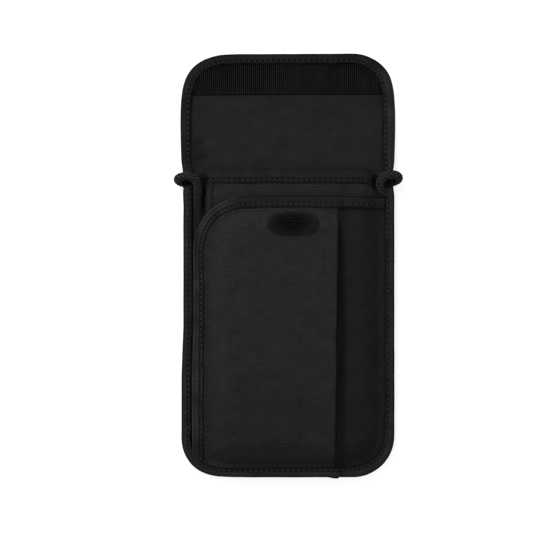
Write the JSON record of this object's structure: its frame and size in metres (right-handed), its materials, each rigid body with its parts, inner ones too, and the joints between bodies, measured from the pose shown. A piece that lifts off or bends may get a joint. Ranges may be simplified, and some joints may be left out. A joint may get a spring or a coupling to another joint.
{
  "type": "neck pouch wallet",
  "caption": "Flat fabric neck pouch with a fold-over flap, a passport pocket, a note pocket, a card pocket, bound edges and a braided neck cord.",
  "frame": {"origin": "middle of the opened pouch's footprint, on the surface that it lies on", "axes": "+X across the pouch to the viewer's right, +Y up the pouch to the flap's edge, +Z out of its front"},
  "size_m": [0.1454, 0.2695, 0.0239],
  "materials": {
    "black_cloth": "fine plain-weave nylon, black, slightly sheened",
    "dark_cloth": "fine plain-weave nylon, black, matte",
    "black_binding": "ribbed grosgrain tape, black, stitched",
    "loop_fastener": "brushed loop pile, black",
    "hook_fastener": "hook tape, black",
    "cord_braid": "round braided polyester cord, black"
  },
  "bodies": {
    "pouch": {"back_panel": "black_cloth", "side_gusset": "dark_cloth", "passport_panel": "black_cloth", "passport_mouth_binding": "black_binding", "front_panel": "dark_cloth", "card_panel": "black_cloth", "front_binding": "black_binding", "hook_patch": "hook_fastener", "body_binding_left": "black_binding", "body_binding_right": "black_binding", "binding_overlap": "black_binding", "cord_left": "cord_braid", "cord_right": "cord_braid", "cord_hank": "cord_braid", "hank_tie": "black_binding", "cord_anchor_left": "cord_braid", "cord_anchor_right": "cord_braid"},
    "flap": {"flap_panel": "black_cloth", "loop_strip": "loop_fastener", "flap_binding": "black_binding"}
  },
  "joints": [
    {"name": "flap_fold", "type": "hinge", "parent": "pouch", "child": "flap", "pos_m": [0, 0.072, 0.0136], "axis": [1, 0, 0], "range_deg": [0, 180]}
  ]
}
